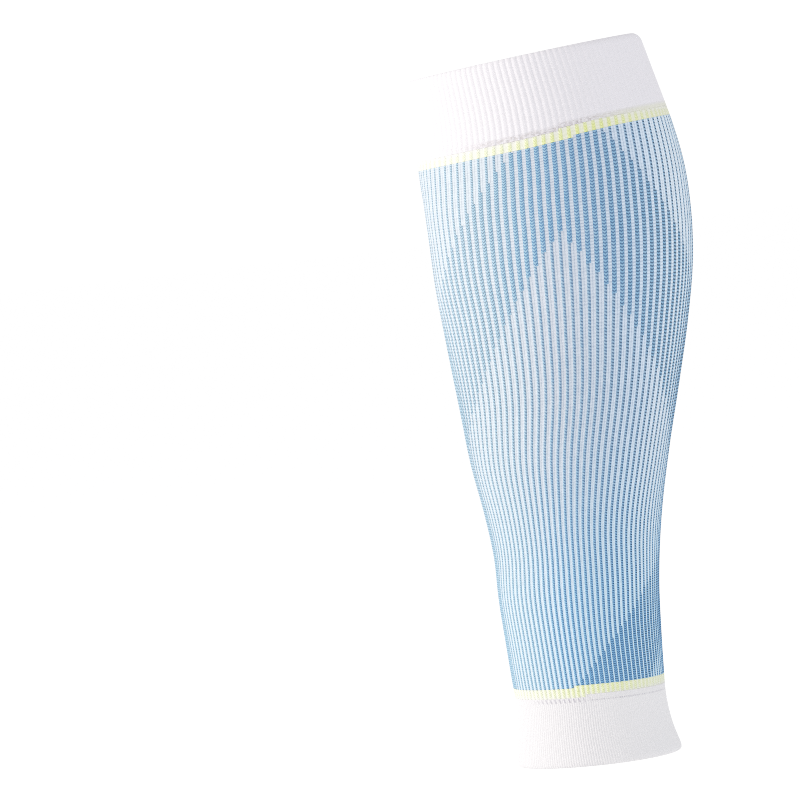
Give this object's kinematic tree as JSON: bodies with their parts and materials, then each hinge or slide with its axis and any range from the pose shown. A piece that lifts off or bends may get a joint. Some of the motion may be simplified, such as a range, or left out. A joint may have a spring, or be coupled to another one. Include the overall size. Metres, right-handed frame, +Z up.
{
  "type": "compression leg sleeve",
  "caption": "Ribbed knit calf sleeve shaped as worn: an open tapered tube with white cuffs at knee and ankle, lime bands and a blue and white body that squeezes the lower leg.",
  "frame": {"origin": "on the leg's axis at the fullest part of the calf, 255 mm above the ankle rim, where the leg inside holds the sleeve", "axes": "+Z up the leg, from the ankle opening to the knee opening; -X towards the shin, +X towards the calf"},
  "size_m": [0.1258, 0.11, 0.3363],
  "materials": {
    "cuff_yarn": "matte white fine rib knit",
    "accent_yarn": "matte lime knit",
    "body_yarn": "matte blue and white rib knit"
  },
  "bodies": {
    "root": {"ankle_cuff": "cuff_yarn", "lower_accent_band": "accent_yarn", "calf_body": "body_yarn", "upper_accent_band": "accent_yarn", "knee_cuff": "cuff_yarn"}
  },
  "joints": []
}
